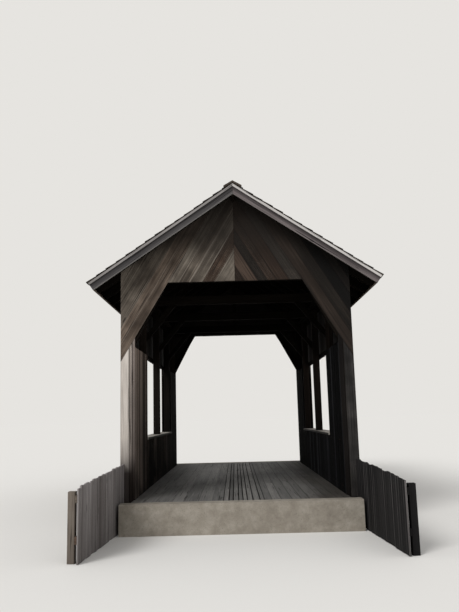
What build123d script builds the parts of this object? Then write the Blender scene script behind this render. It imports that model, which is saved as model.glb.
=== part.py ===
# Small timber covered road bridge, boarded at its ends and open in the middle.
# Millimetres. X runs across the bridge, Y along the road, Z up.
# The origin is on the ground, under the middle of the bridge.
# Heights of the housing are measured from the road surface of the floor.

import math
import os

from build123d import *

# Road and frame
clear_width = 3660
frame_length = 8095
end_bay = 1750
window_count = 2
apron = 400

# Ground works and floor
seat_height = 120
seat_length = 600
backwall_thickness = 250
stringer_width = 200
stringer_depth = 280
stringer_count = 5
stringer_edge_inset = 105
stringer_end_gap = 15
plank_thickness = 60
running_board_thickness = 40

# Side walls
post_side = 150
board_thickness = 25
plate_depth = 150
plate_over_head_beam = 15
sill_depth = 150
girt_thickness = 50
girt_depth = 90
siding_drop = 300
siding_rafter_gap = 3
rail_height = 1010
rail_cap_thickness = 40
rail_cap_nosing = 30
window_head = 2710
lining_brace_gap = 4

# Portals
haunch_height = 2690
head_height = 3830
haunch_run = 602
facing_lap = 10
head_beam_depth = 180
head_beam_rise = 10
portal_brace_depth = 120
portal_brace_width = 100
portal_brace_setback = 15
king_post_side = 100

# Roof frame
roof_pitch = 34.3
rafter_depth = 140
rafter_thickness = 50
rafter_count = 13
birdsmouth_depth = 30
ridge_board_thickness = 40
ridge_board_depth = 200
ridge_notch_gap = 2
tie_depth = 175
knee_brace_side = 100
knee_brace_run = 620
knee_brace_drop = 760

# Roof covering
eave_overhang = 570
rake_overhang = 400
roof_deck_thickness = 20
shake_butt = 30
shake_head = 12
shake_courses = 15
shake_drip = 25
barge_depth = 160
barge_thickness = 28
barge_trim_depth = 45
barge_trim_thickness = 15
fascia_depth = 140
fascia_thickness = 25
ridge_cap_leg = 200
ridge_cap_thickness = 30

# Wing walls
wing_length = 2600
wing_side_gap = 11
wing_flare = 170
wing_height_at_portal = 625
wing_height_at_end = 500
wing_board_thickness = 25
wing_post_side = 100
wing_post_count = 3
wing_post_inset = 60
wing_post_drop = 70
wing_rail_depth = 100
wing_rail_thickness = 50
wing_rail_inset = 120
wing_lower_rail = 250

# Levels above the ground
stringer_top = seat_height + stringer_depth
plank_top = stringer_top + plank_thickness
road = plank_top + running_board_thickness
sill_top = plank_top + sill_depth
portal_head = road + head_height
head_beam_bottom = portal_head + head_beam_rise
head_beam_top = head_beam_bottom + head_beam_depth
plate_top = head_beam_top + plate_over_head_beam
plate_bottom = plate_top - plate_depth
tie_bottom = plate_bottom - tie_depth
parapet_top = road + rail_height - rail_cap_thickness
window_top = road + window_head
siding_bottom = road - siding_drop

# Distances from the road's centre line
jamb_x = clear_width / 2
post_inner_x = jamb_x + board_thickness
post_outer_x = post_inner_x + post_side
girt_x = post_outer_x + girt_thickness
siding_x = girt_x + board_thickness
facing_x = siding_x + facing_lap
eave_x = siding_x + eave_overhang
haunch_x = jamb_x - haunch_run
ridge_x = ridge_board_thickness / 2

# Distances from the middle of the span
half = frame_length / 2
facing_y = half + board_thickness
deck_half = half + apron
rake_y = half + rake_overhang
barge_y = rake_y - shake_drip
barge_inner_y = barge_y - barge_thickness
window_zone = half - end_bay
window_pitch = 2 * window_zone / window_count
window_edge = window_zone + post_side / 2
bents = [-window_zone + window_pitch * i for i in range(window_count + 1)]
portal_bents = [-half + post_side / 2, half - post_side / 2]

# Slopes
slope = math.radians(roof_pitch)
pitch_tan = math.tan(slope)
pitch_cos = math.cos(slope)
pitch_sin = math.sin(slope)
haunch_tan = (head_height - haunch_height) / haunch_run
haunch_cos = math.cos(math.atan(haunch_tan))
knee_cos = math.cos(math.atan(knee_brace_drop / knee_brace_run))


# Height of the rafters' lower edge, which is set by the notch over the plate.
def rafter_under(x):
    return plate_top - birdsmouth_depth + (post_outer_x - x) * pitch_tan


def rafter_top(x):
    return rafter_under(x) + rafter_depth / pitch_cos


# Height of a layer on the rafters, cover thick square to the slope.
def roof_surface(x, cover):
    return rafter_top(x) + cover / pitch_cos


# Point at a distance down the slope from the ridge, cover above the rafters.
def on_slope(distance, cover):
    x = distance * pitch_cos + cover * pitch_sin
    return x, rafter_top(0) - distance * pitch_sin + cover * pitch_cos


butt_cover = roof_deck_thickness + shake_butt
head_cover = roof_deck_thickness + shake_head
eave_distance = (eave_x - butt_cover * pitch_sin) / pitch_cos
fascia_distance = eave_distance - shake_drip
tail_distance = fascia_distance - fascia_thickness


# Height of the portal's slanting edge, moved square to itself by setback.
def haunch_line(x, setback=0):
    return road + haunch_height + (jamb_x - x) * haunch_tan + setback / haunch_cos


# Distance of the slanting edge from the centre line at a height.
def haunch_reach(z, setback=0):
    return jamb_x - (z - road - haunch_height - setback / haunch_cos) / haunch_tan


brace_foot = haunch_line(post_inner_x, portal_brace_setback)


# Upright plane across the road at y, for sketches in X and Z. Its normal points to -Y.
def section_at(y):
    return Plane.XZ.offset(-y)


# Box between two limits on each axis.
def block(x, y, z, mode=Mode.ADD):
    with Locations(((x[0] + x[1]) / 2, (y[0] + y[1]) / 2, (z[0] + z[1]) / 2)):
        Box(x[1] - x[0], y[1] - y[0], z[1] - z[0], mode=mode)


def finish(shape, name):
    shape.part.label = name
    export_step(shape.part, f"parts/{name}.step")


# Writes the piece modelled at +X as the right one, and its mirror image as the left one.
def finish_both_sides(shape, name):
    finish(shape, f"{name}_right")
    with BuildPart() as twin:
        mirror(shape.part, about=Plane.YZ)
    finish(twin, f"{name}_left")


# Writes a piece of the front portal, and its mirror image at the back.
def finish_both_ends(shape, name):
    finish(shape, f"{name}_front")
    with BuildPart() as twin:
        mirror(shape.part, about=Plane.XZ)
    finish(twin, f"{name}_back")


os.makedirs("parts", exist_ok=True)

# Concrete abutments: a seat for the stringers and a backwall that ends flush with the road
with BuildPart() as abutment:
    with BuildSketch(Plane.YZ.offset(-post_outer_x)):
        Polygon(
            (-deck_half - backwall_thickness, 0),
            (-deck_half + seat_length, 0),
            (-deck_half + seat_length, seat_height),
            (-deck_half, seat_height),
            (-deck_half, road),
            (-deck_half - backwall_thickness, road),
            align=None,
        )
    extrude(amount=2 * post_outer_x)
finish_both_ends(abutment, "abutment")

# Stringers that span from seat to seat
stringer_span = post_outer_x - stringer_edge_inset - stringer_width / 2
stringer_pitch = 2 * stringer_span / (stringer_count - 1)
with BuildPart() as stringers:
    with BuildSketch(Plane.XY.offset(seat_height)):
        with GridLocations(stringer_pitch, 1, stringer_count, 1):
            Rectangle(stringer_width, 2 * (deck_half - stringer_end_gap))
    extrude(amount=stringer_depth)
finish(stringers, "stringers")

# Floor: planks laid across the stringers, and running boards along the road
with BuildPart() as deck_planks:
    block((-post_outer_x, post_outer_x), (-deck_half, deck_half), (stringer_top, plank_top))
finish(deck_planks, "deck_planks")

with BuildPart() as running_boards:
    block((-post_inner_x, post_inner_x), (-deck_half, deck_half), (plank_top, road))
finish(running_boards, "running_boards")

# Side wall frames: sill, posts and plate, with girts across their outer faces
with BuildPart() as wall_sills:
    block((post_inner_x, post_outer_x), (-half, half), (plank_top, sill_top))
    mirror(about=Plane.YZ)
finish(wall_sills, "wall_sills")

with BuildPart() as posts:
    for y in portal_bents + bents:
        block(
            (post_inner_x, post_outer_x),
            (y - post_side / 2, y + post_side / 2),
            (sill_top, plate_bottom),
        )
finish_both_sides(posts, "posts")

with BuildPart() as top_plates:
    block((post_inner_x, post_outer_x), (-half, half), (plate_bottom, plate_top))
    mirror(about=Plane.YZ)
finish(top_plates, "top_plates")

siding_top = rafter_under(siding_x) - siding_rafter_gap
girt_bottoms = [plank_top, parapet_top - girt_depth, window_top, siding_top - girt_depth]
with BuildPart() as girts:
    for z in girt_bottoms:
        block((post_outer_x, girt_x), (-half, half), (z, z + girt_depth))
finish_both_sides(girts, "girts")


# Outline of one skin of boards: full height at both ends, parapet height under the windows
def boarded_outline(bottom, top):
    return (
        (-half, bottom),
        (half, bottom),
        (half, top),
        (window_edge, top),
        (window_edge, parapet_top),
        (-window_edge, parapet_top),
        (-window_edge, top),
        (-half, top),
    )


with BuildPart() as siding:
    with BuildSketch(Plane.YZ.offset(girt_x)):
        Polygon(*boarded_outline(siding_bottom, siding_top), align=None)
    extrude(amount=board_thickness)
finish_both_sides(siding, "siding")

with BuildPart() as siding_over_windows:
    block((girt_x, siding_x), (-window_edge, window_edge), (window_top, siding_top))
finish_both_sides(siding_over_windows, "siding_over_windows")

# The lining ends under the feet of the portal braces
with BuildPart() as lining:
    with BuildSketch(Plane.YZ.offset(jamb_x)):
        Polygon(*boarded_outline(road, brace_foot - lining_brace_gap), align=None)
    extrude(amount=board_thickness)
finish_both_sides(lining, "lining")

# Rail caps on the parapets, notched round the posts
with BuildPart() as rail_caps:
    block(
        (jamb_x - rail_cap_nosing, siding_x + rail_cap_nosing),
        (-window_edge, window_edge),
        (parapet_top, parapet_top + rail_cap_thickness),
    )
    for y in bents:
        block(
            (post_inner_x, post_outer_x),
            (y - post_side / 2, y + post_side / 2),
            (parapet_top, parapet_top + rail_cap_thickness),
            Mode.SUBTRACT,
        )
    mirror(about=Plane.YZ)
finish(rail_caps, "rail_caps")

# Cross frames: tie beams and knee braces inside, head beams and braces at the portals
with BuildPart() as tie_beams:
    for y in bents:
        block(
            (-post_inner_x, post_inner_x),
            (y - post_side / 2, y + post_side / 2),
            (tie_bottom, plate_bottom),
        )
finish(tie_beams, "tie_beams")

knee_brace_rise = knee_brace_side / knee_cos
knee_brace_back = knee_brace_rise * knee_brace_run / knee_brace_drop
with BuildPart() as knee_braces:
    for y in bents:
        with BuildSketch(section_at(y - knee_brace_side / 2)):
            Polygon(
                (post_inner_x, tie_bottom - knee_brace_drop),
                (post_inner_x, tie_bottom - knee_brace_drop + knee_brace_rise),
                (post_inner_x - knee_brace_run + knee_brace_back, tie_bottom),
                (post_inner_x - knee_brace_run, tie_bottom),
                align=None,
            )
        extrude(amount=-knee_brace_side)
    mirror(about=Plane.YZ)
finish(knee_braces, "knee_braces")

with BuildPart() as head_beams:
    block((-post_inner_x, post_inner_x), (-half, -half + post_side), (head_beam_bottom, head_beam_top))
    mirror(about=Plane.XZ)
finish(head_beams, "head_beams")

brace_inner_edge = portal_brace_setback + portal_brace_depth
with BuildPart() as portal_braces:
    with BuildSketch(section_at(-half)):
        Polygon(
            (post_inner_x, brace_foot),
            (post_inner_x, haunch_line(post_inner_x, brace_inner_edge)),
            (haunch_reach(head_beam_bottom, brace_inner_edge), head_beam_bottom),
            (haunch_reach(head_beam_bottom, portal_brace_setback), head_beam_bottom),
            align=None,
        )
    extrude(amount=-portal_brace_width)
    mirror(about=Plane.YZ)
    mirror(about=Plane.XZ)
finish(portal_braces, "portal_braces")

# Ridge board on king posts over the portals
ridge_board_top = rafter_top(ridge_x)
ridge_board_bottom = ridge_board_top - ridge_board_depth
with BuildPart() as king_posts:
    block(
        (-king_post_side / 2, king_post_side / 2),
        (-half, -half + king_post_side),
        (head_beam_top, ridge_board_bottom),
    )
    mirror(about=Plane.XZ)
finish(king_posts, "king_posts")

with BuildPart() as ridge_board:
    block((-ridge_x, ridge_x), (-barge_inner_y, barge_inner_y), (ridge_board_bottom, ridge_board_top))
finish(ridge_board, "ridge_board")

# Rafters notched over the plates, and a plain pair outside each portal
rafter_y = half - rafter_thickness / 2
rafter_pitch = 2 * rafter_y / (rafter_count - 1)
birdsmouth_x = post_outer_x - birdsmouth_depth / pitch_tan
with BuildPart() as rafters:
    for i in range(rafter_count):
        y = -rafter_y + i * rafter_pitch
        with BuildSketch(section_at(y - rafter_thickness / 2)):
            Polygon(
                (ridge_x, rafter_under(ridge_x)),
                (birdsmouth_x, plate_top),
                (post_outer_x, plate_top),
                (post_outer_x, plate_top - birdsmouth_depth),
                on_slope(tail_distance, -rafter_depth),
                on_slope(tail_distance, 0),
                (ridge_x, rafter_top(ridge_x)),
                align=None,
            )
        extrude(amount=-rafter_thickness)
    for y in (-barge_inner_y, barge_inner_y - rafter_thickness):
        with BuildSketch(section_at(y)):
            Polygon(
                (ridge_x, rafter_under(ridge_x)),
                on_slope(tail_distance, -rafter_depth),
                on_slope(tail_distance, 0),
                (ridge_x, rafter_top(ridge_x)),
                align=None,
            )
        extrude(amount=-rafter_thickness)
finish_both_sides(rafters, "rafters")

# Roof boards and courses of shakes, each course thick at its butt and thin at its head
with BuildPart() as roof_deck:
    with BuildSketch(section_at(-barge_inner_y)):
        Polygon(
            (0, rafter_top(0)),
            on_slope(fascia_distance, 0),
            on_slope(fascia_distance, roof_deck_thickness),
            (0, roof_surface(0, roof_deck_thickness)),
            align=None,
        )
    extrude(amount=-2 * barge_inner_y)
finish_both_sides(roof_deck, "roof_deck")

exposure = eave_distance / shake_courses
course_steps = []
for course in range(1, shake_courses):
    course_steps.append(on_slope(eave_distance - course * exposure, head_cover))
    course_steps.append(on_slope(eave_distance - course * exposure, butt_cover))
with BuildPart() as shakes:
    with BuildSketch(section_at(-rake_y)):
        Polygon(
            (0, roof_surface(0, roof_deck_thickness)),
            on_slope(eave_distance, roof_deck_thickness),
            on_slope(eave_distance, butt_cover),
            *course_steps,
            (0, roof_surface(0, head_cover)),
            align=None,
        )
    extrude(amount=-2 * rake_y)
finish_both_sides(shakes, "shakes")

# The ridge cap lies on the taper of the last course
taper_start = (0, roof_surface(0, head_cover))
taper_end = on_slope(exposure, butt_cover)
taper_fall = (taper_start[1] - taper_end[1]) / taper_end[0]
cap_x = ridge_cap_leg * pitch_cos
cap_edge = taper_start[1] - cap_x * taper_fall
cap_rise = ridge_cap_thickness / pitch_cos
with BuildPart() as ridge_cap:
    with BuildSketch(section_at(-rake_y)):
        Polygon(
            taper_start,
            (cap_x, cap_edge),
            (cap_x, cap_edge + cap_rise),
            (0, taper_start[1] + cap_rise),
            align=None,
        )
    extrude(amount=-2 * rake_y)
    mirror(about=Plane.YZ)
finish(ridge_cap, "ridge_cap")


# Outline of a board that follows the rake, from the top of the roof boards down
def rake_outline(depth):
    return (
        (0, roof_surface(0, roof_deck_thickness)),
        on_slope(fascia_distance, roof_deck_thickness),
        on_slope(fascia_distance, roof_deck_thickness - depth),
        (0, roof_surface(0, roof_deck_thickness - depth)),
    )


# Barge boards with a trim strip along their upper edge
with BuildPart() as barge_boards:
    with BuildSketch(section_at(-barge_y)):
        Polygon(*rake_outline(barge_depth), align=None)
    extrude(amount=-barge_thickness)
    with BuildSketch(section_at(-barge_y - barge_trim_thickness)):
        Polygon(*rake_outline(barge_trim_depth), align=None)
    extrude(amount=-barge_trim_thickness)
    mirror(about=Plane.XZ)
finish_both_sides(barge_boards, "barge_boards")

# Fascia boards across the rafter tails
with BuildPart() as fascias:
    with BuildSketch(section_at(-barge_inner_y)):
        Polygon(
            on_slope(tail_distance, 0),
            on_slope(fascia_distance, 0),
            on_slope(fascia_distance, -fascia_depth),
            on_slope(tail_distance, -fascia_depth),
            align=None,
        )
    extrude(amount=-2 * barge_inner_y)
    mirror(about=Plane.YZ)
finish(fascias, "fascias")

# Facing of the portal posts, with its foot notched round the floor
with BuildPart() as post_facings:
    with BuildSketch(section_at(-facing_y)):
        Polygon(
            (jamb_x, road),
            (post_inner_x, road),
            (post_inner_x, plank_top),
            (post_outer_x, plank_top),
            (post_outer_x, siding_bottom),
            (facing_x, siding_bottom),
            (facing_x, haunch_line(facing_x)),
            (jamb_x, haunch_line(jamb_x)),
            align=None,
        )
    extrude(amount=-board_thickness)
    mirror(about=Plane.YZ)
    mirror(about=Plane.XZ)
finish(post_facings, "post_facings")

# Gable facing over the portal: two halves that meet on the centre line under the ridge board
notch_x = ridge_x + ridge_notch_gap
notch_top = ridge_board_bottom - ridge_notch_gap
with BuildPart() as gable_half:
    with BuildSketch(section_at(-facing_y)):
        Polygon(
            (0, portal_head),
            (haunch_x, portal_head),
            (facing_x, haunch_line(facing_x)),
            (facing_x, rafter_top(facing_x)),
            (notch_x, rafter_top(notch_x)),
            (notch_x, notch_top),
            (0, notch_top),
            align=None,
        )
    extrude(amount=-board_thickness)
with BuildPart() as gable_half_back:
    mirror(gable_half.part, about=Plane.XZ)
finish_both_sides(gable_half, "gable_facing_front")
finish_both_sides(gable_half_back, "gable_facing_back")

# Wing walls: upright boards facing the road, on rails and posts that stand on the ground
wing_start = post_outer_x + wing_side_gap
wing_run = math.hypot(wing_length, wing_flare)
wing_start_trim = wing_post_side
wing_plane = Plane(
    (wing_start, -facing_y, 0),
    x_dir=(wing_flare, -wing_length, 0),
    z_dir=(-wing_length, -wing_flare, 0),
)
portal_face = Plane.XZ.offset(facing_y)


def wing_top(distance):
    fall = (wing_height_at_portal - wing_height_at_end) * distance / wing_run
    return road + wing_height_at_portal - fall


with BuildPart() as wing_boards:
    with BuildSketch(wing_plane):
        Polygon(
            (-wing_start_trim, 0),
            (wing_run, 0),
            (wing_run, wing_top(wing_run)),
            (-wing_start_trim, wing_top(-wing_start_trim)),
            align=None,
        )
    extrude(amount=-wing_board_thickness)
    split(bisect_by=portal_face, keep=Keep.TOP)
    mirror(about=Plane.YZ)
finish_both_ends(wing_boards, "wing_boards")

wing_post_spread = wing_run - 2 * wing_post_inset - wing_post_side
wing_post_pitch = wing_post_spread / (wing_post_count - 1)
rail_end = wing_run - wing_post_inset
with BuildPart() as wing_frames:
    with BuildSketch(wing_plane.offset(-wing_board_thickness)):
        Polygon(
            (-wing_start_trim, wing_lower_rail),
            (rail_end, wing_lower_rail),
            (rail_end, wing_lower_rail + wing_rail_depth),
            (-wing_start_trim, wing_lower_rail + wing_rail_depth),
            align=None,
        )
        Polygon(
            (-wing_start_trim, wing_top(-wing_start_trim) - wing_rail_inset - wing_rail_depth),
            (rail_end, wing_top(rail_end) - wing_rail_inset - wing_rail_depth),
            (rail_end, wing_top(rail_end) - wing_rail_inset),
            (-wing_start_trim, wing_top(-wing_start_trim) - wing_rail_inset),
            align=None,
        )
    extrude(amount=-wing_rail_thickness)
    with BuildSketch(wing_plane.offset(-wing_board_thickness - wing_rail_thickness)):
        for i in range(wing_post_count):
            near = wing_post_inset + i * wing_post_pitch
            far = near + wing_post_side
            Polygon(
                (near, 0),
                (far, 0),
                (far, wing_top(far) - wing_post_drop),
                (near, wing_top(near) - wing_post_drop),
                align=None,
            )
    extrude(amount=-wing_post_side)
    split(bisect_by=portal_face, keep=Keep.TOP)
    mirror(about=Plane.YZ)
finish_both_ends(wing_frames, "wing_frames")
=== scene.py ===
import math
import random

import bpy
from mathutils import Euler, Matrix, Vector


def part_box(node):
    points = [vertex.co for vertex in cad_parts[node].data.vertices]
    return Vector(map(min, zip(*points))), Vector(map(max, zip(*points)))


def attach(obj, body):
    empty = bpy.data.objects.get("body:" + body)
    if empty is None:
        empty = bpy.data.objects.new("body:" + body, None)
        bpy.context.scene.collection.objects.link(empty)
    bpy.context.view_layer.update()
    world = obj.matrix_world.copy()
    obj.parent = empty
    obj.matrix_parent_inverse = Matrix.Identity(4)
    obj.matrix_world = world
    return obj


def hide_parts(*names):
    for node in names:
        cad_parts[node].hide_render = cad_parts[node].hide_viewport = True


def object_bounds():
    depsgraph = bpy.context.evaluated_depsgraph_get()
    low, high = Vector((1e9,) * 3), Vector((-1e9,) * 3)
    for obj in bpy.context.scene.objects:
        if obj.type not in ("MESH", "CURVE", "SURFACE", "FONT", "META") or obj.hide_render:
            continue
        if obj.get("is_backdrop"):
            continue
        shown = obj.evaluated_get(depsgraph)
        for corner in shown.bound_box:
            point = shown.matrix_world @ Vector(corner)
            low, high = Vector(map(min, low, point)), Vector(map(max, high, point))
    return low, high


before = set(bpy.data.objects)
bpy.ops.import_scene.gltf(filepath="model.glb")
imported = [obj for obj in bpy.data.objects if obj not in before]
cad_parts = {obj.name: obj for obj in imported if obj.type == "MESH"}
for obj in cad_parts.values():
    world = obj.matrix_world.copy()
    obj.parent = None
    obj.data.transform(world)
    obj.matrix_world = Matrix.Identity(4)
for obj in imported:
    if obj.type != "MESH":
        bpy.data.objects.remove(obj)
cadLow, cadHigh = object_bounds()
print("frame loaded:", len(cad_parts), "pieces")

sides = ((1, "right"), (-1, "left"))
ends = ((-1, "front"), (1, "back"))


def fromHex(code):
    channels = [int(code[i:i + 2], 16) / 255 for i in (1, 3, 5)]
    linear = [c / 12.92 if c <= 0.04045 else ((c + 0.055) / 1.055) ** 2.4 for c in channels]
    return (*linear, 1.0)


# Adds a node with its settings and links, and gives one of its outputs. Inputs go by name or in order,
# and an input that is the output of another node is linked. "stops" are (place, hex) pairs of a colour ramp.
def addNode(tree, kind, inputs=(), output=0, **settings):
    node = tree.nodes.new("ShaderNode" + kind)
    for key, value in settings.items():
        if key == "stops":
            while len(node.color_ramp.elements) < len(value):
                node.color_ramp.elements.new(0.5)
            for stop, (place, code) in zip(node.color_ramp.elements, value):
                stop.position = place
                stop.color = fromHex(code)
        else:
            setattr(node, key, value)
    for key, value in inputs.items() if isinstance(inputs, dict) else enumerate(inputs):
        if isinstance(value, bpy.types.NodeSocket):
            tree.links.new(value, node.inputs[key])
        else:
            node.inputs[key].default_value = value
    return node.outputs[output] if node.outputs else node


# A new material, its node tree, and the place in the frame in metres
def newMaterial(name):
    material = bpy.data.materials.new(name)
    material.use_nodes = True
    material.node_tree.nodes.clear()
    return material, material.node_tree, addNode(material.node_tree, "TexCoord", output="Object")


def newObject(name, data):
    thing = bpy.data.objects.new(name, data)
    bpy.context.scene.collection.objects.link(thing)
    return thing


# Boards and beams are gathered in a pile, which becomes one mesh. grain holds the metres along and across
# the grain and the board's seed, and edge runs from -1 to 1 across each board.
def newPile():
    return {"points": [], "faces": [], "grain": [], "edge": []}


def addFace(pile, corners, grain, edge):
    first = len(pile["points"])
    pile["points"].extend(corners)
    pile["grain"].extend(grain)
    pile["edge"].extend(edge)
    pile["faces"].append(list(range(first, first + len(corners))))


def settle(pile, name, material, slotName, *nodes):
    mesh = bpy.data.meshes.new(name)
    mesh.from_pydata(pile["points"], [], pile["faces"])
    grain = mesh.attributes.new("grain", "FLOAT_VECTOR", "POINT")
    grain.data.foreach_set("vector", [c for g in pile["grain"] for c in g])
    edge = mesh.attributes.new("edge", "FLOAT", "POINT")
    edge.data.foreach_set("value", pile["edge"])
    mesh.materials.append(material)
    mesh.validate()
    piece = newObject(name, mesh)
    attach(piece, "root")
    if nodes:
        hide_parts(*nodes)


# Moves every side of a convex outline inwards by margin.
def shrink(outline, margin):
    result = []
    for i, corner in enumerate(outline):
        before = (corner - outline[i - 1]).normalized()
        after = (outline[(i + 1) % len(outline)] - corner).normalized()
        inA, inB = Vector((-before.y, before.x)), Vector((-after.y, after.x))
        result.append(corner + (inA + inB) * (margin / max(0.3, 1 + inA.dot(inB))))
    return result


# Keeps the part of a convex outline on the side of a line that inward points to.
def clip(outline, point, inward):
    point, inward = Vector(point), Vector(inward)
    result = []
    for i, corner in enumerate(outline):
        last = outline[i - 1]
        here, there = (corner - point).dot(inward), (last - point).dot(inward)
        if (here >= 0) != (there >= 0):
            result.append(last.lerp(corner, there / (there - here)))
        if here >= 0:
            result.append(corner)
    return result


# A face to lay boards on: origin, the two directions in it, and the way it looks.
def makeFace(origin, u, v, n):
    return {"origin": Vector(origin), "u": Vector(u), "v": Vector(v), "n": Vector(n).normalized()}


def onFace(face, p, height):
    return face["origin"] + face["u"] * p.x + face["v"] * p.y + face["n"] * height


def isMirrored(face):
    return face["u"].cross(face["v"]).dot(face["n"]) < 0


# One sawn board with eased front edges. outline runs anticlockwise, grainWay is its length in the face.
def addBoard(pile, face, outline, thickness, grainWay, seed, ease=0.003, back=0.0):
    if len(outline) < 3:
        return
    grainWay = Vector(grainWay).normalized()
    crossWay = Vector((-grainWay.y, grainWay.x))
    spans = [p.dot(crossWay) for p in outline]
    middle, reach = (max(spans) + min(spans)) / 2, max(0.001, (max(spans) - min(spans)) / 2)
    top, shoulder = shrink(outline, ease), thickness - ease
    count = len(outline)

    def emit(points, heights, side=False):
        corners = [onFace(face, p, h) for p, h in zip(points, heights)]
        grain = [(p.dot(grainWay), p.dot(crossWay) + (thickness - h if side else 0.0), seed)
                 for p, h in zip(points, heights)]
        edge = [(p.dot(crossWay) - middle) / reach for p in points]
        if isMirrored(face):
            corners, grain, edge = corners[::-1], grain[::-1], edge[::-1]
        addFace(pile, corners, grain, edge)

    emit(top, [thickness] * count)
    emit(outline[::-1], [back] * count)
    for i in range(count):
        j = (i + 1) % count
        emit([outline[i], outline[j], top[j], top[i]], [shoulder, shoulder, thickness, thickness])
        emit([outline[j], outline[i], outline[i], outline[j]], [back, back, shoulder, shoulder], True)


def rectangle(left, right, bottom, top):
    return [Vector(c) for c in ((left, bottom), (right, bottom), (right, top), (left, top))]


# Each board has its own seed, by which the materials tell it from the others.
def newSeed(rng):
    return rng.uniform(0, 90)


# Splits a length into uneven board widths that fill it exactly.
def cutWidths(total, width, spread, rng):
    count = max(1, round(total / width))
    shares = [1 + rng.uniform(-spread, spread) for _ in range(count)]
    return [total * s / sum(shares) for s in shares]


# The two edges of each board in a row from start to stop, with a joint between boards. Where a dictionary
# has Cuts, they are the width, its spread and the joint.
def boardEdges(start, stop, width, spread, gap, rng):
    place = start
    for cut in cutWidths(stop - start, width, spread, rng):
        yield place + gap / 2, place + cut - gap / 2
        place += cut


# Upright boards side by side from left to right. Ends are ragged inwards only.
def layBoards(pile, face, left, right, bottom, top, recipe, rng):
    laid = list(boardEdges(left, right, recipe["width"], recipe["spread"], recipe["gap"], rng))
    for near, far in laid:
        low = bottom + rng.uniform(0, recipe["raggedFoot"])
        high = top - rng.uniform(0, recipe["raggedHead"])
        addBoard(pile, face, rectangle(near, far, low, high),
                 recipe["thickness"] - rng.uniform(0, recipe["proud"]), (0, 1), newSeed(rng))
    return laid


# A sawn beam from start to end. side and up are its half sizes as vectors.
def addBeam(pile, start, end, side, up, seed, ease=0.006):
    length = (end - start).length
    a, b = side.normalized() * ease, up.normalized() * ease
    ring = [side - a + up, side + up - b, side - up + b, side - a - up,
            -side + a - up, -side - up + b, -side + up - b, -side + a + up]
    way = 0.0
    if side.cross(up).dot(end - start) < 0:
        ring = ring[::-1]
    for i in range(8):
        p, q = ring[i], ring[(i + 1) % 8]
        step = (q - p).length
        corners = [start + p, start + q, end + q, end + p]
        grain = [(0, way, seed), (0, way + step, seed), (length, way + step, seed), (length, way, seed)]
        addFace(pile, corners, grain, [0.0] * 4)
        way += step
    # end grain is short, so the fibres run only a fifth as far along there
    for tip, order in ((start, ring[::-1]), (end, ring)):
        grain = [(p.dot(side.normalized()) * 0.2, p.dot(up.normalized()), seed) for p in order]
        addFace(pile, [tip + p for p in order], grain, [0.0] * 8)


# The separate solids of a node, each as its lowest and highest corner.
def solidBoxes(node):
    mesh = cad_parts[node].data
    keys = [tuple(round(c, 4) for c in v.co) for v in mesh.vertices]
    group = {k: k for k in keys}

    def root(k):
        while group[k] != k:
            group[k] = group[group[k]]
            k = group[k]
        return k

    for edge in mesh.edges:
        first, second = edge.vertices
        group[root(keys[first])] = root(keys[second])
    corners = {}
    for k in group:
        corners.setdefault(root(k), []).append(k)
    boxes = [(Vector(map(min, *points)), Vector(map(max, *points))) for points in corners.values()]
    return sorted(boxes, key=lambda box: tuple(box[0]))


def beamFromBox(pile, low, high, seed):
    size, middle = high - low, (low + high) / 2
    axis = max(range(3), key=lambda i: size[i])
    ways = [Vector((1, 0, 0)), Vector((0, 1, 0)), Vector((0, 0, 1))]
    half = ways[axis] * size[axis] / 2
    i, j = (axis + 1) % 3, (axis + 2) % 3
    addBeam(pile, middle - half, middle + half, ways[i] * size[i] / 2, ways[j] * size[j] / 2, seed)


# Measures read from the frame
sidingLow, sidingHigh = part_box("siding_right")
liningLow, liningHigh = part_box("lining_right")
headerLow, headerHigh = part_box("siding_over_windows_right")
facingLow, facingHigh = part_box("post_facings")
planksLow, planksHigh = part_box("deck_planks")
roadLow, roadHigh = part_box("running_boards")
deckLow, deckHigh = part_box("roof_deck_right")
shakeLow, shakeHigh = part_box("shakes_right")
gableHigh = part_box("gable_facing_front_right")[1]
capInner = max(low.x for low, high in solidBoxes("rail_caps"))
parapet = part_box("rail_caps")[0].z
road = roadHigh.z
jamb = liningLow.x
windowEdge = headerHigh.y
portalEnd = sidingHigh.y

# How sawn wood is drawn. Steps are periods per metre along the grain, widths are in fibres, reaches in
# metres, and shares say how much of the mark's colour is laid over the wood's.
wood = {
    "fibreStep": 1.6, "figureStep": 0.55, "figureWidth": 5, "splitStep": 0.9, "splitWidth": 2.2,
    "splitFrom": (0.66, 0.71), "knotSteps": (1.5, 6.0), "knotSize": (0.06, 0.12), "knotShare": 0.8,
    "resin": "#e6c6b6", "edgeFrom": 0.8, "trimShadowReach": (-0.6, 0.45), "bite": (0.35, 0.95, 0.12, 1.0),
    "washReach": (-2.6, -4.1), "innerReach": (0.004, 0.016), "innerShadeShare": 0.96, "fade": 0.6,
    "shadeAboveShare": 0.8, "farShadeShare": 0.95, "dirtAndShadeShift": 0.2, "dirtPatch": 1.6, "dirtReach": (0.2, 0.85),
    "dirtShare": 0.8, "splashFoot": 0.1, "roughFrom": (0.3, 0.8), "roughRange": 0.12,
}
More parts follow.
